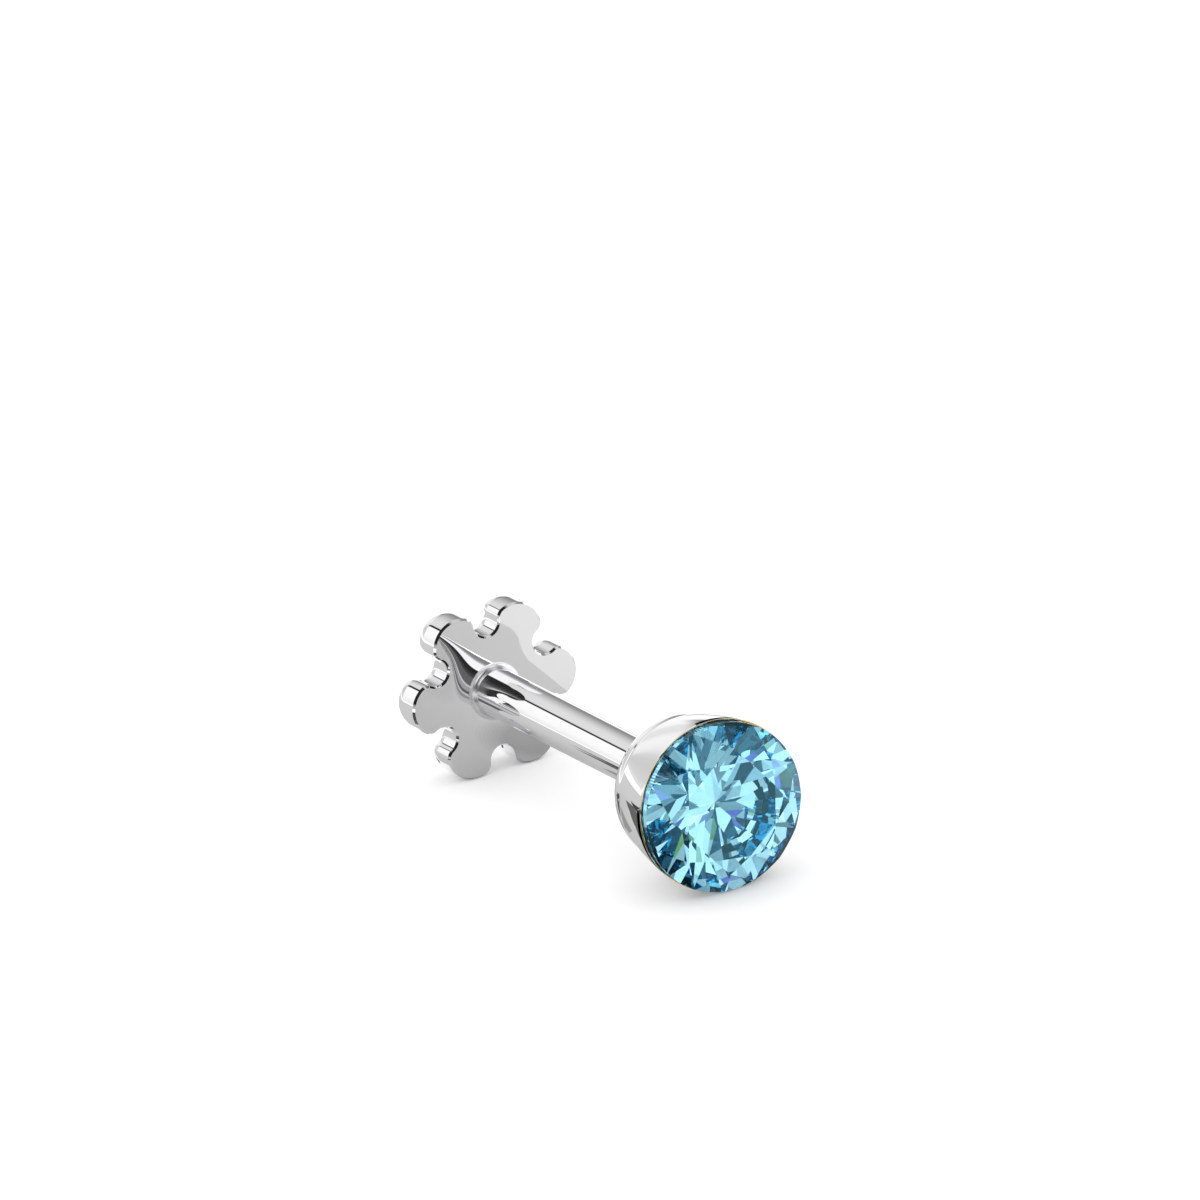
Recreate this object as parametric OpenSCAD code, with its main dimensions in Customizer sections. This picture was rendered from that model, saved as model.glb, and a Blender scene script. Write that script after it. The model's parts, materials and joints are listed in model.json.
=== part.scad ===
// Threaded ear stud, closed, lying on two petals of its back and on the edge of its cup.
// Each piece is drawn standing on the stud's own axis, with z = 0 at the disc's inner face
// and +z towards the stone, and is then laid down with the stone facing -Y.

/* [Stone] */
// Diameter of the stone at its girdle
stone_d = 3.94; // [3.8:0.01:3.96]
// Height of the girdle, the band round the stone's widest part
girdle_h = 0.2; // [0.1:0.01:0.3]
// Table width as a share of the stone's diameter
table_share = 0.57; // [0.5:0.01:0.65]
// Slope of the crown's main facets, in degrees
crown_angle = 34.5; // [30:0.5:38]
// Slope of the pavilion's main facets, in degrees
pavilion_angle = 40.75; // [39:0.25:42]
// Turn of the facets about the stud's axis, in degrees
facet_turn = 14; // [0:1:45]

/* [Cup] */
// Diameter of the cup at its edge
cup_d = 4; // [3.98:0.01:4.1]
// Depth of the cup from its edge to its back
cup_depth = 2.45; // [2.3:0.05:3]
// Radius of the cup's flat back
cup_back_r = 0.82; // [0.7:0.01:0.9]
// Radius of the round corner between the back and the side
cup_corner_r = 0.9; // [0.5:0.05:1]
// How far the side stands out of a straight cone at its middle
cup_bulge = 0.03; // [0.01:0.01:0.08]
// Distance from the axis to the three straight slots under the stone's girdle
slot_offset = 1.79; // [1.7:0.01:1.85]
// Turn of the three slots about the stud's axis, in degrees
slot_turn = 73; // [0:1:119]
// Height that each slot takes out of the cup's edge
slot_h = 0.1; // [0.06:0.01:0.12]

/* [Post] */
// Diameter of the post
post_d = 1.1; // [1:0.05:1.2]
// Length of the post, from the disc's inner face to the cup
post_l = 8.2; // [6:0.1:10]
// Radius of the solder fillet where the post meets the disc
fillet_r = 0.12; // [0.05:0.01:0.2]
// Diameter of the pin that stands for the hidden screw
pin_d = 0.62; // [0.5:0.01:0.7]
// Length of that pin
pin_l = 2.6; // [2:0.1:4]

/* [Disc] */
// Thickness of the disc
disc_t = 0.9; // [0.6:0.05:1.2]
// Radius of a petal's round tip
petal_r = 0.66; // [0.64:0.01:0.68]
// Distance from the axis to the middle of a petal's tip
petal_offset = 1.44; // [1.42:0.01:1.46]
// Radius of the notch between two petals
notch_r = 0.31; // [0.29:0.01:0.33]
// Distance from the axis to the middle of a notch
notch_offset = 1.625; // [1.6:0.005:1.65]
// Radius of the shoulder between petal and notch
shoulder_r = 0.24; // [0.22:0.01:0.26]
// Radius of the rounded outer edge
edge_r = 0.2; // [0.1:0.01:0.21]
// Width of the narrow bevel round the inner face
bevel = 0.05; // [0.02:0.01:0.08]

/* [Fit] */
// Gap between pieces that sit against each other
gap = 0.02; // [0.01:0.01:0.04]

/* [Hidden] */
$fn = 96;
petals = 6;
petal_step = 360 / petals;
slots = 3;

// places along the axis
cup_back_z = post_l;
cup_edge_z = cup_back_z + cup_depth;
girdle_z = cup_edge_z + gap;

// the stone's facets, all worked out from its radius
stone_r = stone_d / 2;
mains = 8;
main_step = 360 / mains;
star_share = 0.763;
lower_share = 0.23;
table_r = stone_r * table_share;
star_r = stone_r * star_share;
lower_r = stone_r * lower_share;
girdle_steps = 4;
main_gap = 2 * girdle_steps;
girdle_count = mains * main_gap;
girdle_step = 360 / girdle_count;
girdle_top_z = girdle_z + girdle_h;
table_z = girdle_top_z + (stone_r - table_r) * tan(crown_angle);
pavilion_h = stone_r * tan(pavilion_angle);
groove_h = 0.16;

// the cup's seat follows the pavilion's ridges at the gap, and the culet hangs in a small well
seat_angle = atan(rise_between(lower_r, pavilion_angle) / (stone_r - lower_r));
seat_top_r = stone_r + gap / sin(seat_angle);
well_r = 0.15;
well_h = 0.3;
seat_h = (seat_top_r - well_r) * tan(seat_angle);
corner_steps = 12;
side_steps = 8;

// the post's foot goes half way into the disc, and its fillet starts a hair above the face
foot_h = disc_t / 2;
fillet_z = 0.01;
fillet_steps = 6;
bore_room = 0.2;
bore_h = pin_l + bore_room;

// how finely the disc's outline and its rounded edge are drawn
tip_steps = 6;
shoulder_steps = 5;
notch_steps = 5;
edge_steps = 5;

// the lay of the stud: a tilt that brings the cup's edge and two petals to one floor
cup_r = cup_d / 2;
petal_reach = petal_offset * cos(petal_step / 2) + petal_r;
petal_foot_z = edge_r - disc_t;
lie_tilt = atan((cup_r - petal_reach) / (cup_edge_z - petal_foot_z));
axis_h = cup_r * cos(lie_tilt) - cup_edge_z * sin(lie_tilt);
mid_z = (table_z - disc_t) / 2;

// Lays a piece down: +z goes to -Y and a little up, and +y goes up.
module lie() {
    translate([0, mid_z * cos(lie_tilt), axis_h]) rotate([90 - lie_tilt, 0, 0]) children();
}

// Height of a main facet above or below the girdle at radius r, midway between two mains.
function rise_between(r, angle) = (stone_r - r * cos(main_step / 2)) * tan(angle);

// Slope of the half facets, which run from that point to the girdle.
function half_angle(r, angle) = atan(rise_between(r, angle) / ((stone_r - r) * cos(main_step / 4)));

// How far a half facet cuts into the round girdle at step i, between two of the girdle's tips.
function scallop(i, angle) =
    let (off_middle = (i % girdle_steps) * girdle_step - main_step / 4)
    stone_r * (cos(off_middle) - cos(main_step / 4)) * tan(angle);

function around(r, a, z) = [r * cos(a), r * sin(a), z];

// The points go ring by ring from the table to the culet, and each ring's first index is named.
module brilliant() {
    upper_angle = half_angle(star_r, crown_angle);
    lower_angle = half_angle(lower_r, pavilion_angle);
    star_z = girdle_top_z + rise_between(star_r, crown_angle);
    lower_z = girdle_z - rise_between(lower_r, pavilion_angle);
    points = concat(
        [for (i = [0:mains - 1]) around(table_r, i * main_step, table_z)],
        [for (i = [0:mains - 1]) around(star_r, (i + 0.5) * main_step, star_z)],
        [for (i = [0:girdle_count - 1])
            around(stone_r, i * girdle_step, girdle_top_z - scallop(i, upper_angle))],
        [for (i = [0:girdle_count - 1])
            around(stone_r, i * girdle_step, girdle_z + scallop(i, lower_angle))],
        [for (i = [0:mains - 1]) around(lower_r, (i + 0.5) * main_step, lower_z)],
        [[0, 0, girdle_z - pavilion_h]]
    );
    stars = mains;
    tops = stars + mains;
    lows = tops + girdle_count;
    lowers = lows + girdle_count;
    culet = lowers + mains;
    table = [[for (i = [mains - 1:-1:0]) i]];
    star_facets = [for (i = [0:mains - 1]) [i, (i + 1) % mains, stars + i]];
    kites = [for (i = [0:mains - 1])
        [i, stars + i, tops + i * main_gap, stars + (i + mains - 1) % mains]];
    upper_halves = [for (i = [0:2 * mains - 1]) concat(
        stars + floor(i / 2),
        [for (k = [girdle_steps:-1:0]) tops + (i * girdle_steps + k) % girdle_count]
    )];
    band = [for (i = [0:girdle_count - 1])
        let (j = (i + 1) % girdle_count)
        [tops + i, tops + j, lows + j, lows + i]];
    lower_halves = [for (i = [0:2 * mains - 1]) concat(
        lowers + floor(i / 2),
        [for (k = [0:girdle_steps]) lows + (i * girdle_steps + k) % girdle_count]
    )];
    pavilion = [for (i = [0:mains - 1])
        [culet, lowers + (i + mains - 1) % mains, lows + i * main_gap, lowers + i]];
    polyhedron(points, concat(table, star_facets, kites, upper_halves, band, lower_halves, pavilion), 2);
}

// Straight blocks outside the slots' lines, which cut both the stone and the cup's edge.
module slot_blocks(offset, low_z, height) {
    for (i = [0:slots - 1])
        rotate([0, 0, slot_turn + i * 360 / slots])
            translate([offset, -cup_r, low_z]) cube([cup_r, cup_d, height]);
}

module stone() {
    color("deepskyblue") difference() {
        rotate([0, 0, facet_turn]) brilliant();
        slot_blocks(slot_offset, girdle_z - groove_h, groove_h + gap);
    }
}

// Half section of the cup's outside: flat back, round corner, then a slightly full side.
function cup_section() =
    let (
        corner_z = cup_back_z + cup_corner_r,
        side_r = cup_back_r + cup_corner_r,
        side_h = cup_edge_z - corner_z
    )
    concat(
        [[0, cup_back_z]],
        [for (i = [0:corner_steps])
            let (a = 90 * i / corner_steps)
            [cup_back_r + cup_corner_r * sin(a), corner_z - cup_corner_r * cos(a)]],
        [for (i = [1:side_steps])
            let (t = i / side_steps)
            [side_r + (cup_r - side_r) * t + cup_bulge * 4 * t * (1 - t), corner_z + side_h * t]],
        [[0, cup_edge_z]]
    );

module setting() {
    color("silver") difference() {
        union() {
            rotate_extrude() polygon(cup_section());
            translate([0, 0, cup_back_z - pin_l]) cylinder(d = pin_d, h = pin_l + gap);
        }
        translate([0, 0, girdle_z - seat_h]) cylinder(r1 = well_r, r2 = seat_top_r, h = seat_h);
        translate([0, 0, girdle_z - seat_h - well_h]) cylinder(r = well_r, h = well_h + gap);
        slot_blocks(slot_offset + gap, cup_edge_z - slot_h, 2 * slot_h);
    }
}

// The shoulder's circle touches the petal's from inside and the notch's from outside.
notch_at = notch_offset * [cos(petal_step / 2), sin(petal_step / 2)];
petal_at = [petal_offset, 0];
petal_to_notch = norm(notch_at - petal_at);
petal_end = atan2(notch_at[1], notch_at[0] - petal_offset) - acos(
    (pow(petal_r - shoulder_r, 2) + pow(petal_to_notch, 2) - pow(notch_r + shoulder_r, 2))
    / (2 * (petal_r - shoulder_r) * petal_to_notch)
);
shoulder_at = petal_at + (petal_r - shoulder_r) * [cos(petal_end), sin(petal_end)];
shoulder_end = atan2(notch_at[1] - shoulder_at[1], notch_at[0] - shoulder_at[0]);

// Points on an arc in equal steps. An arc that follows on from another leaves out its first point.
function arc(centre, r, from, to, steps, first = 0) =
    [for (i = [first:steps]) let (a = from + (to - from) * i / steps) centre + r * [cos(a), sin(a)]];

// Half a petal's outline, from its tip to the middle of the notch, moved inwards by inset.
function half_petal(inset) = concat(
    arc(petal_at, petal_r - inset, 0, petal_end, tip_steps),
    arc(shoulder_at, shoulder_r - inset, petal_end, shoulder_end, shoulder_steps, 1),
    arc(notch_at, notch_r + inset, shoulder_end - 180, petal_step / 2 - 180, notch_steps, 1)
);

function turned(points, a) =
    [for (p = points) [p[0] * cos(a) - p[1] * sin(a), p[0] * sin(a) + p[1] * cos(a)]];

function flower_outline(inset) =
    let (half = half_petal(inset), last = len(half) - 1)
    let (petal = concat([for (i = [last - 1:-1:1]) [half[i][0], -half[i][1]]], half))
    [for (i = [0:petals - 1]) each turned(petal, i * petal_step)];

// One flat face of the disc at the given height, as triangles. Each petal is a fan round a point level
// with the notches' bottoms, and what is left is a fan round the middle.
function face_points(height) = concat(
    [for (i = [0:petals - 1]) concat(turned([[notch_offset - notch_r, 0]], i * petal_step)[0], height)],
    [[0, 0, height]]
);

function face_fans(count, outline, points) =
    let (petal_count = count / petals)
    concat(
        [for (i = [0:count - 1])
            let (j = (i + 1) % count)
            [outline + j, outline + i, points + floor(j / petal_count)]],
        [for (i = [0:petals - 1], side = [0, 1])
            let (
                bottom = outline + ((i + side) * petal_count + count - 1) % count,
                ends = side > 0 ? [bottom, points + i] : [points + i, bottom]
            )
            [ends[0], ends[1], points + petals]]
    );

function turned_over(faces) = [for (f = faces) [f[2], f[1], f[0]]];

// A narrow bevel round the inner face, a straight wall and a round outer edge, ring by ring.
module flower() {
    levels = concat(
        [[0, bevel], [-bevel, 0]],
        [for (i = [0:edge_steps])
            let (a = 90 * i / edge_steps)
            [petal_foot_z - edge_r * sin(a), edge_r * (1 - cos(a))]]
    );
    count = len(flower_outline(0));
    rings = [for (level = levels) each [for (p = flower_outline(level[1])) [p[0], p[1], level[0]]]];
    walls = [for (k = [0:len(levels) - 2], i = [0:count - 1])
        let (j = (i + 1) % count)
        [k * count + i, k * count + j, (k + 1) * count + j, (k + 1) * count + i]];
    inner_face = face_fans(count, 0, len(rings));
    outer_face = turned_over(face_fans(count, len(rings) - count, len(rings) + petals + 1));
    polyhedron(
        concat(rings, face_points(0), face_points(-disc_t)),
        concat(inner_face, outer_face, walls),
        2
    );
}

module post() {
    post_r = post_d / 2;
    foot_r = post_r + fillet_r;
    difference() {
        rotate_extrude() polygon(concat(
            [[0, -foot_h], [foot_r, -foot_h], [foot_r, fillet_z]],
            [for (i = [1:fillet_steps])
                let (a = 90 * i / fillet_steps)
                [foot_r - fillet_r * sin(a), fillet_z + fillet_r * (1 - cos(a))]],
            [[post_r, post_l - gap], [0, post_l - gap]]
        ));
        translate([0, 0, post_l - bore_h]) cylinder(r = pin_d / 2 + gap, h = bore_h);
    }
}

// The notch after the first petal points straight down, so the stud lies on two petals.
module flat_back() {
    color("silver") {
        difference() {
            rotate([0, 0, -90 - petal_step / 2]) flower();
            translate([0, 0, -foot_h]) cylinder(d = post_d, h = disc_t);
        }
        post();
    }
}

lie() stone();
lie() setting();
lie() flat_back();
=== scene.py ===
import json
import math

import bmesh
import bpy
from mathutils import Matrix, Vector
from mathutils.geometry import tessellate_polygon


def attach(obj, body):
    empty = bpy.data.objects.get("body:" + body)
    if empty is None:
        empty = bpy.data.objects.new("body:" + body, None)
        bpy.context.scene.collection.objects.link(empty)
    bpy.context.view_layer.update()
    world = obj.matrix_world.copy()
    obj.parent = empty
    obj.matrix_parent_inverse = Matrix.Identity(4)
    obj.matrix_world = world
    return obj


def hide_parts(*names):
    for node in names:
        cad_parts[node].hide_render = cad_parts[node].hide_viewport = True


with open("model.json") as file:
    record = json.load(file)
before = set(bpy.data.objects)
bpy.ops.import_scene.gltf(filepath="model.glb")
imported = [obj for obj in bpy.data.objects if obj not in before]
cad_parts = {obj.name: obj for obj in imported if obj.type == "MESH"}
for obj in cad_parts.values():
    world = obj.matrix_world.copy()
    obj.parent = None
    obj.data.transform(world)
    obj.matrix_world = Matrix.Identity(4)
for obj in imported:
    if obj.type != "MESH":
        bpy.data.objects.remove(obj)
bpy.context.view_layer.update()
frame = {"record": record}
scene = bpy.context.scene
mm = 0.001

# The stud's own axes: z runs from the disc's inner face to the stone. Sizes below are in mm.
innerFace = next(m for m in frame["record"]["mounts"] if m["name"] == "disc_inner_face")
studAxis = Vector(innerFace["axis"]).normalized()
across = Vector((1, 0, 0))
studPlace = Matrix((across, studAxis.cross(across), studAxis)).transposed().to_4x4()
studPlace.translation = Vector(innerFace["pos_m"])
toRow = studPlace @ Matrix.Scale(mm, 4)


# Camera

photoView = {
    "azimuth": -25.915,
    "elevation": 19.995,
    "roll": -7.455,
    "pixelsPerMm": 44.5,
    "frameSide": 1200,
    "discPixel": (495.5, 691.0),  # where the photograph shows the middle of the disc's inner face
    "distance": 0.2,
}


def makeCamera(view):
    turn, lift, roll = (math.radians(view[key]) for key in ("azimuth", "elevation", "roll"))
    back = Vector((math.sin(turn) * math.cos(lift), -math.cos(turn) * math.cos(lift), math.sin(lift)))
    level = Vector((math.cos(turn), math.sin(turn), 0))
    upright = back.cross(level)
    right = math.cos(roll) * level + math.sin(roll) * upright
    up = math.cos(roll) * upright - math.sin(roll) * level
    pixel = mm / view["pixelsPerMm"]
    aside, above = (view["frameSide"] / 2 - place for place in view["discPixel"])
    aim = studPlace.translation + aside * pixel * right - above * pixel * up
    data = bpy.data.cameras.new("photoCamera")
    data.type = "ORTHO"
    data.ortho_scale = view["frameSide"] * pixel
    data.clip_start = 0.001
    data.clip_end = 10
    camera = bpy.data.objects.new("photoCamera", data)
    camera.matrix_world = Matrix((right, up, back)).transposed().to_4x4()
    camera.location = aim + back * view["distance"]
    scene.collection.objects.link(camera)
    scene.camera = camera


makeCamera(photoView)
scene.view_settings.view_transform = "Standard"
print("camera set")


# Shader maths: a socket that takes part in Python expressions, and one method for any other node

class Sock:
    def __init__(self, tree, out=None):
        self.tree = tree
        self.out = out

    def node(self, kind, settings, inputs, output=0):
        node = self.tree.nodes.new(kind)
        for name, value in settings.items():
            if name == "stops":
                setStops(node.color_ramp.elements, value)
            else:
                setattr(node, name, value)
        for name, value in inputs.items():
            if isinstance(value, Sock):
                self.tree.links.new(value.out, node.inputs[name])
            else:
                node.inputs[name].default_value = value
        return Sock(self.tree, node.outputs[output]) if len(node.outputs) else node

    def math(self, operation, *values):
        return self.node("ShaderNodeMath", {"operation": operation}, dict(enumerate(values)))

    def __add__(self, other):
        return self.math("ADD", self, other)

    def __sub__(self, other):
        return self.math("SUBTRACT", self, other)

    def __mul__(self, other):
        return self.math("MULTIPLY", self, other)

    def __truediv__(self, other):
        return self.math("DIVIDE", self, other)

    def __radd__(self, other):
        return self.math("ADD", other, self)

    def __rsub__(self, other):
        return self.math("SUBTRACT", other, self)

    def __rmul__(self, other):
        return self.math("MULTIPLY", other, self)

    def step(self, low, high):  # 0 below low, 1 above high, smooth between
        ends = {"Value": self, "From Min": low, "From Max": high}
        return self.node("ShaderNodeMapRange", {"interpolation_type": "SMOOTHSTEP"}, ends)

    def mix(self, first, second):  # the first colour where this is 0, the second where it is 1
        return self.node("ShaderNodeMix", {"data_type": "RGBA"}, {0: self, 6: first, 7: second}, 2)


def setStops(elements, stops):  # a ramp's stops, each an angle and a brightness or colour
    elements.remove(elements[1])
    for i, (angle, shade) in enumerate(stops):
        stop = elements[0] if i == 0 else elements.new(angle / 360)
        stop.position = angle / 360
        stop.color = (*(shade if isinstance(shade, tuple) else (shade,) * 3), 1)


def newMaterial(name):
    material = bpy.data.materials.new(name)
    material.use_nodes = True
    material.node_tree.nodes.clear()
    return material, Sock(material.node_tree)


# Polished white metal: fine polishing marks and a little unevenness in the shine

metalFinish = {
    "colour": (0.88, 0.88, 0.89, 1),
    "mottled": (0.85, 0.85, 0.855, 1),
    "roughness": (0.012, 0.04),
    "cloudScale": 420.0,
    "cloudEdges": (0.35, 0.7),
    "markScale": 5200.0,
    "markHeight": 0.0000004,
    "markStrength": 0.3,
}
goldFinish = {  # the cup's very edge
    **metalFinish,
    "colour": (0.86, 0.62, 0.30, 1),
    "mottled": (0.80, 0.56, 0.26, 1),
}
slotShadeFinish = {  # slots: painted shade, a near black in place of the dark of a deep recess that light doesn't reach
    **metalFinish,
    "colour": (0.020, 0.045, 0.040, 1),
    "mottled": (0.035, 0.075, 0.055, 1),
    "roughness": (0.3, 0.5),
}
solderFinish = {  # fillet at the post's foot, which takes a softer polish
    **metalFinish,
    "colour": (0.80, 0.80, 0.81, 1),
    "mottled": (0.77, 0.77, 0.775, 1),
    "roughness": (0.28, 0.34),
}

# The disc's inner face isn't polished quite flat beside the post, which bends what it mirrors.
# The lean grows from start along the way it points, and stays on the near side of edge.
faceLean = {
    "way": math.radians(140),
    "start": 0.65,
    "edge": 0.55,
    "rate": 1.9,
    "most": 0.5,
    "fade": (-0.85, -0.55),
    "tilt": (-0.232, 0.0, -0.21),
}


def leaningNormal(tree, place, lean):
    surface = tree.node("ShaderNodeNewGeometry", {}, {}, "Normal")
    x, z = (tree.node("ShaderNodeSeparateXYZ", {}, {"Vector": place}, axis) for axis in "XZ")
    x = x / mm
    z = (z - studPlace.translation.z) / mm
    c, s = math.cos(lean["way"]), math.sin(lean["way"])
    along = c * x + s * z
    beside = s * x - c * z
    reach = along.math("MAXIMUM", along - lean["start"], 0.0)
    width = beside.math("MAXIMUM", lean["edge"] - beside, 0.0)
    curve = lean["rate"] * reach * reach * width
    bend = beside.step(*lean["fade"]) * curve.math("MINIMUM", curve, lean["most"])
    tilt = tree.node("ShaderNodeVectorMath", {"operation": "SCALE"}, {0: lean["tilt"], "Scale": bend})
    turned = tree.node("ShaderNodeVectorMath", {"operation": "ADD"}, {0: surface, 1: tilt})
    return tree.node("ShaderNodeVectorMath", {"operation": "NORMALIZE"}, {0: turned})


def metalMaterial(name, finish, lean=None):
    material, tree = newMaterial(name)
    place = tree.node("ShaderNodeTexCoord", {}, {}, "Object")
    clouds = tree.node("ShaderNodeTexNoise", {}, {"Vector": place, "Scale": finish["cloudScale"], "Detail": 4.0})
    marks = tree.node("ShaderNodeTexNoise", {}, {"Vector": place, "Scale": finish["markScale"], "Detail": 3.0})
    mottled = clouds.step(*finish["cloudEdges"])
    low, high = finish["roughness"]
    bumps = {"Strength": finish["markStrength"], "Distance": finish["markHeight"], "Height": marks}
    if lean is not None:
        bumps["Normal"] = leaningNormal(tree, place, lean)
    shader = tree.node("ShaderNodeBsdfPrincipled", {}, {
        "Base Color": mottled.mix(finish["colour"], finish["mottled"]), "Metallic": 1.0,
        "Roughness": low + (high - low) * mottled, "Normal": tree.node("ShaderNodeBump", {}, bumps),
    })
    tree.node("ShaderNodeOutputMaterial", {}, {"Surface": shader})
    return material


# Blue stone: clear, with a slight cloud in its colour

stoneFinish = {
    "light": (0.88, 0.97, 1.0, 1),
    "deep": (0.82, 0.95, 0.99, 1),
    "cloudScale": 500.0,
    "cloudEdges": (0.3, 0.7),
    "refraction": 2.4,
    "sheen": (0.15, 0.45, 0.6, 1),  # keeps the table's own reflection weak and blue
    "depthColour": (0.03, 0.765, 0.97, 1),
    "depthDensity": 190.0,
}


def stoneMaterial(name, finish):
    material, tree = newMaterial(name)
    place = tree.node("ShaderNodeTexCoord", {}, {}, "Object")
    clouds = tree.node("ShaderNodeTexNoise", {}, {"Vector": place, "Scale": finish["cloudScale"], "Detail": 2.0})
    shader = tree.node("ShaderNodeBsdfPrincipled", {}, {
        "Base Color": clouds.step(*finish["cloudEdges"]).mix(finish["light"], finish["deep"]),
        "Roughness": 0.0, "IOR": finish["refraction"], "Transmission Weight": 1.0, "Specular Tint": finish["sheen"],
    })
    inside = tree.node("ShaderNodeVolumeAbsorption", {}, {
        "Color": finish["depthColour"], "Density": finish["depthDensity"],
    })
    tree.node("ShaderNodeOutputMaterial", {}, {"Surface": shader, "Volume": inside})
    return material


metal = metalMaterial("polishedMetal", metalFinish)
faceMetal = metalMaterial("polishedFace", metalFinish, faceLean)
gold = metalMaterial("goldEdge", goldFinish)
# slot shade is painted shade, not the metal's own colour
slotShadeMetal = metalMaterial("slotShade", slotShadeFinish)
solder = metalMaterial("solderFillet", solderFinish)
blue = stoneMaterial("blueStone", stoneFinish)
print("materials made")


# Making, cutting and painting a piece

near = 0.001  # mm, how closely a face's place is told


def makePiece(name, points, faces, materials, node, sharpAngle=None, cutters=()):
    mesh = bpy.data.meshes.new(name)
    mesh.from_pydata([toRow @ Vector(p) for p in points], [], faces)
    shaped = bmesh.new()
    shaped.from_mesh(mesh)
    bmesh.ops.remove_doubles(shaped, verts=shaped.verts, dist=0.1 * near * mm)
    bmesh.ops.recalc_face_normals(shaped, faces=shaped.faces)
    shaped.to_mesh(mesh)
    shaped.free()
    for material in materials:
        mesh.materials.append(material)
    piece = bpy.data.objects.new(name, mesh)
    scene.collection.objects.link(piece)
    for cutter in cutters:
        cutAway(piece, *cutter)
    if sharpAngle is not None:
        piece.data.shade_smooth()
        piece.data.set_sharp_from_angle(angle=math.radians(sharpAngle))
        for face in piece.data.polygons:
            face.use_smooth = abs(face.normal.dot(studAxis)) < 0.99999  # flat ends stay flat
    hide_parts(node)
    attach(piece, "root")
    return piece


def cutAway(piece, points, faces):
    mesh = bpy.data.meshes.new("cutter")
    mesh.from_pydata([toRow @ Vector(p) for p in points], [], faces)
    tool = bpy.data.objects.new("cutter", mesh)
    scene.collection.objects.link(tool)
    groove = piece.modifiers.new("groove", "BOOLEAN")
    groove.operation = "DIFFERENCE"
    groove.solver = "EXACT"
    groove.object = tool
    done = bpy.data.meshes.new_from_object(piece.evaluated_get(bpy.context.evaluated_depsgraph_get()))
    piece.modifiers.clear()
    piece.data = done
    bpy.data.objects.remove(tool)


def paint(piece, index, test):  # gives another material to the faces that pass the test
    for face in piece.data.polygons:
        place = (face.center - studPlace.translation) / mm
        depth = place.dot(studAxis)
        radius = (place - depth * studAxis).length
        if test(depth, radius, face.normal.dot(studAxis)):
            face.material_index = index


def inSlots(low, high):  # the slots' flat floors and straight walls
    def test(depth, radius, slope):
        inside = low - near < depth < high + near and slots["offset"] - near < radius < cut["radius"] - near
        return inside and not 0.01 <= abs(slope) <= 0.99
    return test


def around(r, angle, z):
    return (r * math.cos(math.radians(angle)), r * math.sin(math.radians(angle)), z)


def revolve(profile, steps):
    points, faces = [], []
    for r, z in profile:
        points += [around(r, 360 * i / steps, z) for i in range(steps)]
    for k in range(len(profile) - 1):
        for i in range(steps):
            j = (i + 1) % steps
            faces.append((k * steps + i, k * steps + j, (k + 1) * steps + j, (k + 1) * steps + i))
    return points, faces


def block(turn, start, end, halfWidth, low, high):
    corners = [(x, y, z) for x in (start, end) for y in (-halfWidth, halfWidth) for z in (low, high)]
    spin = Matrix.Rotation(math.radians(turn), 4, "Z")
    faces = [(0, 1, 3, 2), (4, 6, 7, 5), (0, 4, 5, 1), (2, 3, 7, 6), (0, 2, 6, 4), (1, 5, 7, 3)]
    return [spin @ Vector(c) for c in corners], faces


# Shared places along the axis, and the three straight slots that cross stone and cup

fit = {"gap": 0.02, "postLength": 8.2, "cupDepth": 2.45}
cupBack = fit["postLength"]
cupEdge = cupBack + fit["cupDepth"]
girdleFoot = cupEdge + fit["gap"]
slots = {"count": 3, "turn": 73, "offset": 1.79, "lip": 0.06, "height": 0.18, "groove": 0.16}


def slotBlocks(offset, low, high):
    return [
        block(slots["turn"] + i * 360 / slots["count"], offset, 2 * offset, 2 * offset, low, high)
        for i in range(slots["count"])
    ]


# Stone: a round brilliant, facet by facet

cut = {
    "radius": 1.97,
    "girdle": 0.2,
    "tableShare": 0.605,
    "starShare": 0.763,
    "lowerShare": 0.23,
    "crownAngle": 27.0,
    "pavilionAngle": 40.75,
    "turn": 15,
    "mains": 8,
    "roundSteps": 12,
}


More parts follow.
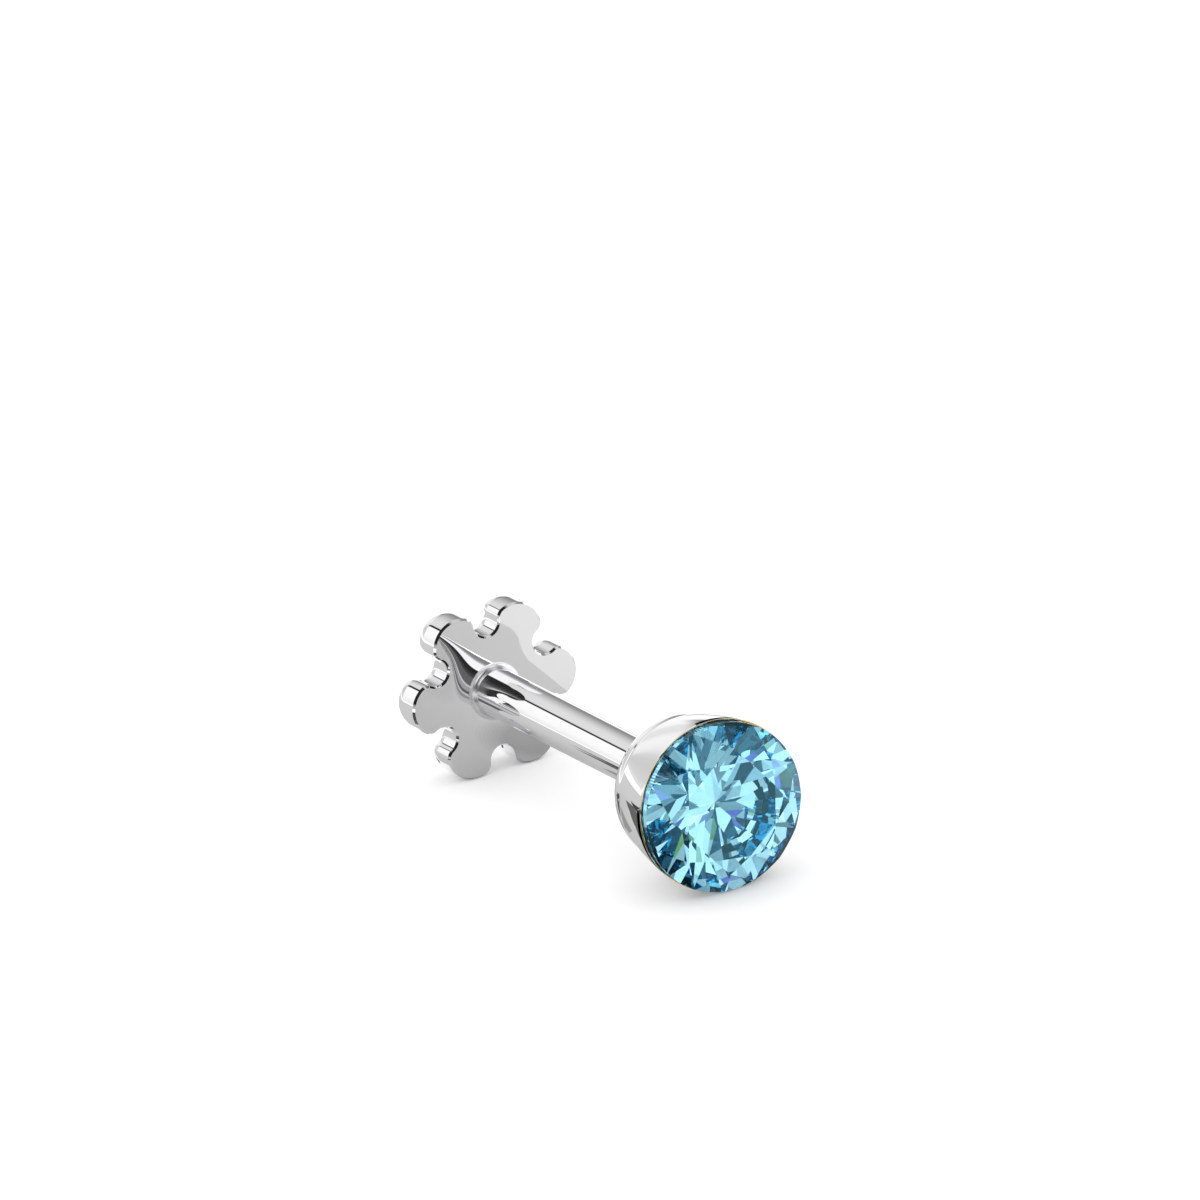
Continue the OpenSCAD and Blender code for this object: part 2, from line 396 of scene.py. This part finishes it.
def brilliant(shape):
    mains, steps, radius = shape["mains"], shape["roundSteps"], shape["radius"]
    mainStep = 360 / mains
    count = 2 * mains * steps
    halfMain, quarterMain = math.radians(mainStep / 2), math.radians(mainStep / 4)
    crown, pavilion = math.radians(shape["crownAngle"]), math.radians(shape["pavilionAngle"])
    tableR, starR, lowerR = (radius * shape[key] for key in ("tableShare", "starShare", "lowerShare"))
    girdleTop = girdleFoot + shape["girdle"]

    def rise(r, angle):  # a main facet's height at r, midway between two mains
        return (radius - r * math.cos(halfMain)) * math.tan(angle)

    def scallop(i, r, angle):  # how far a half facet cuts into the round girdle
        slope = rise(r, angle) / ((radius - r) * math.cos(quarterMain))
        offMiddle = math.radians((i % steps) * 360 / count) - quarterMain
        return radius * (math.cos(offMiddle) - math.cos(quarterMain)) * slope

    tableZ = girdleTop + (radius - tableR) * math.tan(crown)
    points = [around(tableR, i * mainStep, tableZ) for i in range(mains)]
    points += [around(starR, (i + 0.5) * mainStep, girdleTop + rise(starR, crown)) for i in range(mains)]
    tops = len(points)
    points += [around(radius, i * 360 / count, girdleTop - scallop(i, starR, crown)) for i in range(count)]
    lows = len(points)
    points += [around(radius, i * 360 / count, girdleFoot + scallop(i, lowerR, pavilion)) for i in range(count)]
    lowers = len(points)
    points += [around(lowerR, (i + 0.5) * mainStep, girdleFoot - rise(lowerR, pavilion)) for i in range(mains)]
    culet = len(points)
    points.append((0, 0, girdleFoot - radius * math.tan(pavilion)))

    faces = [tuple(range(mains))]
    for i in range(mains):
        before, tip = (i + mains - 1) % mains, 2 * steps * i
        faces.append((i, mains + i, (i + 1) % mains))
        faces.append((i, mains + before, tops + tip, mains + i))
        faces.append((culet, lowers + i, lows + tip, lowers + before))
    for i in range(2 * mains):
        rim = [(i * steps + k) % count for k in range(steps + 1)]
        faces.append((mains + i // 2, *(tops + k for k in rim)))
        faces.append((lowers + i // 2, *(lows + k for k in reversed(rim))))
    for i in range(count):
        j = (i + 1) % count
        faces.append((tops + i, lows + i, lows + j, tops + j))
    spin = Matrix.Rotation(math.radians(shape["turn"]), 4, "Z")
    return [spin @ Vector(p) for p in points], faces


grooveFoot = girdleFoot - slots["groove"]
grooveTop = girdleFoot + fit["gap"]
points, faces = brilliant(cut)
stone = makePiece(
    "brilliant", points, faces, [blue, slotShadeMetal], "stone",
    cutters=slotBlocks(slots["offset"], grooveFoot, grooveTop),
)
# the stone's groove faces get the painted slot shade, so they show as dark lenses through the stone
paint(stone, 1, inSlots(grooveFoot, grooveTop))
print("stone cut")


# Setting: the cup with its seat, slots and pin

cup = {
    "radius": 2.0,
    "backRadius": 0.82,
    "cornerRadius": 0.9,
    "bulge": 0.03,
    "edgeBand": 0.04,
    "pinRadius": 0.31,
    "pinLength": 2.6,
    "wellRadius": 0.15,
    "wellDepth": 0.3,
    "sharpAngle": 30,
    "cornerSteps": 32,
    "sideSteps": 24,
    "roundSteps": 384,
}


def cupProfile(shape):
    cornerZ = cupBack + shape["cornerRadius"]
    sideR = shape["backRadius"] + shape["cornerRadius"]
    ridge = cut["radius"] * (1 - cut["lowerShare"])
    fall = cut["radius"] * (1 - cut["lowerShare"] * math.cos(math.pi / cut["mains"]))
    seatSlope = fall * math.tan(math.radians(cut["pavilionAngle"])) / ridge
    seatTop = cut["radius"] + fit["gap"] / math.sin(math.atan(seatSlope)) - fit["gap"] / seatSlope
    seatFoot = cupEdge - (seatTop - shape["wellRadius"]) * seatSlope
    pinEnd = cupBack - shape["pinLength"]
    profile = [(0, pinEnd), (shape["pinRadius"], pinEnd), (shape["pinRadius"], cupBack)]
    for i in range(shape["cornerSteps"] + 1):
        a = math.pi / 2 * i / shape["cornerSteps"]
        r = shape["backRadius"] + shape["cornerRadius"] * math.sin(a)
        profile.append((r, cornerZ - shape["cornerRadius"] * math.cos(a)))
    for i in range(1, shape["sideSteps"] + 1):
        t = i / shape["sideSteps"]
        r = sideR + (shape["radius"] - sideR) * t + 4 * shape["bulge"] * t * (1 - t)
        profile.append((r, cornerZ + (cupEdge - cornerZ) * t))
    profile.insert(-1, (shape["radius"], cupEdge - shape["edgeBand"]))
    wellFoot = seatFoot - shape["wellDepth"]
    return profile + [
        (seatTop, cupEdge), (shape["wellRadius"], seatFoot), (shape["wellRadius"], wellFoot), (0, wellFoot),
    ]


slitTop = cupEdge - slots["lip"]
slitFoot = slitTop - slots["height"]
bandMiddle = cupEdge - cup["edgeBand"] / 2
points, faces = revolve(cupProfile(cup), cup["roundSteps"])
setting = makePiece(
    "cupSetting", points, faces, [metal, gold, slotShadeMetal], "setting", cup["sharpAngle"],
    slotBlocks(slots["offset"] + fit["gap"], slitFoot, slitTop),
)
paint(setting, 1, lambda depth, radius, slope: abs(depth - (cupEdge if slope > 0.9 else bandMiddle)) < near)
# the slots' floors and walls get the painted slot shade
paint(setting, 2, inSlots(slitFoot, slitTop))
print("setting turned")


# Flat back: six petals, and the post soldered into the middle

flower = {
    "thickness": 1.0,
    "petals": 6,
    "petalRadius": 0.66,
    "petalOffset": 1.44,
    "notchRadius": 0.31,
    "notchOffset": 1.625,
    "shoulderRadius": 0.24,
    "bevel": ((0.04, 0), (0, -0.065)),  # inset and depth
    "edgeInset": 0.22,
    "edgeDepth": 0.5,
    "turn": -120,
    "sharpAngle": 17,
    "tipSteps": 24,
    "shoulderSteps": 16,
    "notchSteps": 20,
    "edgeSteps": 20,
}
post = {
    "radius": 0.55,
    "filletRadius": 0.12,
    "boreRadius": 0.33,
    "boreDepth": 2.8,
    "filletSteps": 10,
    "roundSteps": 256,
}


def arc(centre, r, start, end, steps, first=0):
    angles = [math.radians(start + (end - start) * i / steps) for i in range(first, steps + 1)]
    return [(centre[0] + r * math.cos(a), centre[1] + r * math.sin(a)) for a in angles]


def petalArcs(shape):
    # the shoulder's circle touches the petal's from inside and the notch's from outside
    half = math.radians(180 / shape["petals"])
    notch = Vector((shape["notchOffset"] * math.cos(half), shape["notchOffset"] * math.sin(half)))
    petal = Vector((shape["petalOffset"], 0))
    inner = shape["petalRadius"] - shape["shoulderRadius"]
    outer = shape["notchRadius"] + shape["shoulderRadius"]
    span = (notch - petal).length
    towards = math.atan2(notch.y - petal.y, notch.x - petal.x)
    petalEnd = towards - math.acos((inner ** 2 + span ** 2 - outer ** 2) / (2 * inner * span))
    shoulder = petal + inner * Vector((math.cos(petalEnd), math.sin(petalEnd)))
    shoulderEnd = math.atan2(notch.y - shoulder.y, notch.x - shoulder.x)
    return petal, shoulder, notch, math.degrees(petalEnd), math.degrees(shoulderEnd)


def flowerOutline(shape, inset):
    petal, shoulder, notch, petalEnd, shoulderEnd = petalArcs(shape)
    notchEnd = 180 / shape["petals"] - 180
    half = arc(petal, shape["petalRadius"] - inset, 0, petalEnd, shape["tipSteps"])
    half += arc(shoulder, shape["shoulderRadius"] - inset, petalEnd, shoulderEnd, shape["shoulderSteps"], 1)
    half += arc(notch, shape["notchRadius"] + inset, shoulderEnd - 180, notchEnd, shape["notchSteps"], 1)
    one = [(x, -y) for x, y in half[-2:0:-1]] + half
    outline = []
    for i in range(shape["petals"]):
        spin = Matrix.Rotation(math.radians(shape["turn"] + i * 360 / shape["petals"]), 2)
        outline += [spin @ Vector(p) for p in one]
    return outline


def flatBack(disc, stem):
    rings = list(disc["bevel"])
    for i in range(disc["edgeSteps"] + 1):
        a = math.pi / 2 * i / disc["edgeSteps"]
        depth = disc["edgeDepth"] * (1 - math.sin(a)) - disc["thickness"]
        rings.append((disc["edgeInset"] * (1 - math.cos(a)), depth))
    outline = [flowerOutline(disc, inset) for inset, z in rings]
    count = len(outline[0])
    points = [(x, y, z) for line, (inset, z) in zip(outline, rings) for x, y in line]
    faces = []
    for k in range(len(rings) - 1):
        for i in range(count):
            j = (i + 1) % count
            faces.append((k * count + i, (k + 1) * count + i, (k + 1) * count + j, k * count + j))
    faces.append(tuple((len(rings) - 1) * count + i for i in reversed(range(count))))

    fillet, steps = stem["filletRadius"], stem["roundSteps"]
    profile = []
    for i in range(stem["filletSteps"] + 1):
        a = math.pi / 2 * i / stem["filletSteps"]
        profile.append((stem["radius"] + fillet - fillet * math.sin(a), fillet * (1 - math.cos(a))))
    end = fit["postLength"] - fit["gap"]
    profile += [(stem["radius"], end), (stem["boreRadius"], end)]
    profile += [(stem["boreRadius"], end - stem["boreDepth"]), (0, end - stem["boreDepth"])]
    postPoints, postFaces = revolve(profile, steps)
    start = len(points)
    points += postPoints
    faces += [tuple(start + i for i in face) for face in postFaces]

    # the flat face between the flower's outline and the fillet's ring
    loops = [[Vector((x, y, 0)) for x, y in outline[0]], [Vector(q) for q in postPoints[:steps]]]
    index = list(range(count)) + [start + i for i in range(steps)]
    faces += [tuple(index[i] for i in triangle) for triangle in tessellate_polygon(loops)]
    return points, faces


filletTop = post["filletRadius"]
filletFoot = post["radius"] + post["filletRadius"]
points, faces = flatBack(flower, post)
flowerBack = makePiece(
    "flowerBack", points, faces, [metal, faceMetal, solder], "flat_back", flower["sharpAngle"],
)
paint(flowerBack, 1, lambda depth, radius, slope: slope > 0.9 and abs(depth) < near)
paint(flowerBack, 2, lambda depth, radius, slope: near / 2 < depth < filletTop and radius < filletFoot)
print("flat back made")


# Floors: one that the camera sees, and one that only the polished surfaces and the stone see,
# with mats on it that shade their reflections. "metal": False is for the stone alone.

floors = {
    "side": 4000.0,
    "paleFloor": {"albedo": 0.93, "height": 0.0, "strength": 0.16},
    "mirroredFloor": {"albedo": 0.93, "height": 0.005, "strength": 0.16},
}
mats = {
    "brightMat": {
        "albedo": 0.80, "height": 0.008,
        "outline": ((3.0, 5.6), (3.0, -8.5), (9.0, -8.5), (14.0, -2.0), (10.0, 5.6)),
    },
    "greyMat": {
        "albedo": 0.61, "height": 0.010,
        "outline": ((-8.0, 5.6), (-8.0, -3.2), (-1.0, -4.2), (1.0, -6.5), (3.0, -6.5), (4.2, -4.6), (4.62, -3.99),
                    (4.66, -3.67), (4.66, -3.2), (4.6, -2.85), (4.5, -2.5), (4.30, -2.05), (4.09, -1.52),
                    (3.92, -0.97), (3.83, -0.45), (3.74, 0.2), (3.6, 1.1), (3.5, 1.8), (3.0, 5.6)),
    },
    "sideMat": {
        "albedo": 0.06, "height": 0.014,
        "outline": ((-4.6, 4.4), (-4.6, 7.5), (-12.0, 8.5), (-12.0, 4.4)),
    },
    "frontMat": {
        "albedo": 0.12, "height": 0.014,
        "outline": ((-0.3, -4.9), (-1.2, -4.6), (-3.4, -7.4), (-1.9, -8.6)),
    },
    "farFrontMat": {
        "albedo": 0.38, "height": 0.012,
        "outline": ((-2.4, -14.0), (-14.0, -14.0), (-70.0, -80.0), (-34.0, -80.0)),
    },
    "cupDarkMat": {
        "albedo": 0.13, "height": 0.014,
        "outline": ((-2.7, 0.6), (-3.1, 2.6), (-3.3, 5.6), (-4.6, 5.8), (-4.4, -3.0), (-2.1, -3.2), (-2.15, -1.6),
                    (-2.6, -0.2)),
    },
    "cupMidMat": {
        "albedo": 0.34, "height": 0.014,
        "outline": ((-0.6, 0.0), (-1.0, -0.9), (-1.75, -0.8), (-1.75, 2.0), (-1.2, 2.2)),
    },
    "leftMat": {
        "albedo": 0.38, "height": 0.012,
        "outline": ((-2.4, -3.2), (-2.4, -14.0), (-14.0, -14.0), (-14.0, -3.2)),
    },
    "farLeftMat": {
        "albedo": 0.60, "height": 0.008,
        "outline": ((-1.5, 5.6), (-1.5, 40.0), (-40.0, 40.0), (-24.0, 5.6)),
    },
    "farRightMat": {
        "albedo": 0.50, "height": 0.010,
        "outline": ((4.0, 5.6), (9.5, 5.6), (11.0, 12.0), (11.5, 24.0), (6.0, 24.0)),
    },
    "backMat": {
        "albedo": 0.15, "height": 0.012,
        "outline": ((-1.4, 6.6), (1.6, 6.6), (6.2, 17.0), (2.8, 17.0)),
    },
    "stoneLeftMat": {
        "albedo": 0.60, "height": 0.0135, "metal": False,
        "outline": ((-2.4, -3.2), (-2.4, -14.0), (-34.0, -80.0), (-70.0, -80.0), (-14.0, -14.0), (-14.0, -3.2)),
    },
    "stoneFrontMat": {
        "albedo": 0.36, "height": 0.0145, "metal": False,
        "outline": ((-2.4, -7.6), (-1.0, -7.0), (-0.3, -7.6), (-0.5, -9.8), (-2.4, -9.8)),
    },
    "glowMat": {
        "height": 0.009, "strength": 1.9,
        "outline": ((6.8, -5.0), (5.0, -8.0), (8.0, -34.0), (40.0, -20.0), (34.0, -5.0)),
    },
}
softMat = {  # ovals on one another, darker to the middle
    "middle": (1.55, 4.0),
    "reach": (1.25, 2.1),
    "shrink": 0.5,
    "albedo": 0.585,
    "fall": 0.026,
    "height": 0.011,
    "step": 0.0005,
    "rings": 8,
    "corners": 48,
}


def makeFloor(name, outline, finish, seen):
    mesh = bpy.data.meshes.new(name)
    corners = [(x * mm, y * mm, finish["height"] * mm) for x, y in outline]
    mesh.from_pydata(corners, [], [tuple(range(len(corners)))])
    material, tree = newMaterial(name)
    grey = (finish.get("albedo", 0.0),) * 3 + (1,)
    surface = tree.node("ShaderNodeBsdfDiffuse", {}, {"Color": grey})
    if "strength" in finish:
        lit = tree.node("ShaderNodeEmission", {}, {"Strength": finish["strength"]})
        surface = tree.node("ShaderNodeAddShader", {}, {0: surface, 1: lit})
    tree.node("ShaderNodeOutputMaterial", {}, {"Surface": surface})
    mesh.materials.append(material)
    floor = bpy.data.objects.new(name, mesh)
    scene.collection.objects.link(floor)
    floor.visible_camera = floor.visible_diffuse = floor.visible_shadow = seen
    floor.visible_glossy = not seen and finish.get("metal", True)
    floor.visible_transmission = not seen


def makeSoftMat(shape):
    for i in range(shape["rings"]):
        size = 1 - shape["shrink"] * i / shape["rings"]
        angles = [2 * math.pi * k / shape["corners"] for k in range(shape["corners"])]
        (x, y), (wide, deep) = shape["middle"], shape["reach"]
        oval = [(x + size * wide * math.cos(a), y + size * deep * math.sin(a)) for a in angles]
        finish = {"albedo": shape["albedo"] - shape["fall"] * i, "height": shape["height"] + shape["step"] * i}
        makeFloor("softMat", oval, finish, False)


half = floors["side"] / 2
square = ((-half, -half), (half, -half), (half, half), (-half, half))
makeFloor("paleFloor", square, floors["paleFloor"], True)
makeFloor("mirroredFloor", square, floors["mirroredFloor"], False)
for name, mat in mats.items():
    makeFloor(name, mat["outline"], mat, False)
makeSoftMat(softMat)


# Studio: plain white to the camera and the floor. What is polished sees a ball of cards instead. Its bands go by
# how far the view leans to the disc's end (y, 1 to -1), each from its lower edge up to the one before. In a band
# the cards are set by degrees round the stud's axis, from the right over the top to the left.

green, violet = (0.40, 0.52, 0.14), (0.26, 0.17, 0.62)  # the stone's small glints; metal sees them grey
studio = {
    "white": 1.15,
    "bounces": 24,
    "softEdge": 0.015,
    "bands": (
        # the cup's side
        (0.92, ((0, 1.08), (22, 1.04), (32, 0.88), (50, 0.86), (58, 0.96), (71, 1.03), (90, 0.99), (103, 0.91),
                (114, 0.76), (125, 0.70), (140, 0.68), (166, 0.74), (176, 0.83), (200, 0.9), (340, 1.05))),
        # post and petals' walls
        (0.45, ((0, 1.1), (8, 1.05), (13, 0.25), (25, 0.30), (39, 0.42), (59, 0.64), (80, 0.82), (105, 0.85),
                (112, 0.80), (114, 0.02), (120, 0.02), (122, 1.15), (160, 1.10), (180, 0.95), (355, 0.9))),
        # the disc's bevel
        (-0.35, ((0, 1.3), (30, 1.3), (35, 0.3), (50, 0.3), (60, 0.7), (80, 0.7), (92, 0.02), (165, 0.02),
                 (172, 0.5), (355, 0.8))),
        # the stone's outer facets
        (-0.79, ((0, 1.7), (33, 1.7), (37, 0.02), (47, 0.02), (49, green), (51, green), (53, 1.5), (71, 1.5),
                 (73, violet), (75, violet), (77, 0.03), (92, 0.03), (95, 0.85), (109, 0.75), (113, 1.45),
                 (148, 1.45), (152, 0.04), (180, 0.04), (340, 1.7))),
        # the disc's face by way of the post, and the post by way of the disc
        (-0.91, ((0, 0.28), (30, 0.30), (42, 0.6), (50, 1.2), (88, 1.25), (92, 0.02), (112, 0.03), (131, 0.08),
                 (136, 0.15), (172, 0.155), (177, 0.43), (180, 0.43), (270, 0.5), (355, 0.5))),
        # the stone's inner facets
        (-1.10, ((0, 1.8), (31, 1.8), (33, green), (37, green), (39, 0.2), (60, 0.95), (84, 0.2), (88, violet),
                 (91, violet), (93, 1.45), (110, 1.45), (112, green), (115, green), (117, 0.04), (146, 0.04),
                 (150, 1.3), (180, 1.3), (340, 1.7))),
    ),
    # what the stone sees in the band from -0.91, where the metal has its own cards
    "stoneBand": (-0.91, ((0, 0.3), (30, 0.3), (42, 0.9), (60, 1.3), (88, 1.3), (91, 0.05), (100, 0.05),
                          (103, green), (107, green), (109, 0.65), (130, 0.65), (132, violet), (136, violet),
                          (138, 1.15), (148, 1.15), (150, green), (153, green), (155, 0.4), (168, 0.45),
                          (170, violet), (173, violet), (175, 0.6), (355, 0.8))),
}


def makeWorld(light):
    world = bpy.data.worlds.new("studio")
    scene.world = world
    world.use_nodes = True
    world.cycles.sampling_method = "NONE"
    world.node_tree.nodes.clear()
    tree = Sock(world.node_tree)
    direction = tree.node("ShaderNodeTexCoord", {}, {}, "Generated")
    x, y, z = (tree.node("ShaderNodeSeparateXYZ", {}, {"Vector": direction}, axis) for axis in "XYZ")
    turn = z.math("ARCTAN2", z, x) / (2 * math.pi)
    angle = turn.math("FRACT", turn)
    rays = ("Is Camera Ray", "Is Diffuse Ray", "Is Transmission Ray")
    camera, diffuse, through = (tree.node("ShaderNodeLightPath", {}, {}, ray) for ray in rays)
    stoneEdge, stoneStops = light["stoneBand"]
    cards = None
    for edge, stops in reversed(light["bands"]):
        card = tree.node("ShaderNodeValToRGB", {"stops": stops}, {0: angle})
        if edge == stoneEdge:
            card = through.mix(card, tree.node("ShaderNodeValToRGB", {"stops": stoneStops}, {0: angle}))
        above = y.step(edge - light["softEdge"], edge + light["softEdge"])
        cards = card if cards is None else above.mix(cards, card)
    cards = through.mix(tree.node("ShaderNodeRGBToBW", {}, {"Color": cards}), cards)
    plain = tree.node("ShaderNodeBackground", {}, {"Color": (1, 1, 1, 1), "Strength": light["white"]})
    ball = tree.node("ShaderNodeBackground", {}, {"Color": cards, "Strength": 1.0})
    both = tree.node("ShaderNodeMixShader", {}, {0: camera + diffuse, 1: ball, 2: plain})
    tree.node("ShaderNodeOutputWorld", {}, {"Surface": both})


makeWorld(studio)
scene.cycles.max_bounces = studio["bounces"]
scene.cycles.glossy_bounces = studio["bounces"]
scene.cycles.transmission_bounces = studio["bounces"]
print("floor and light set")
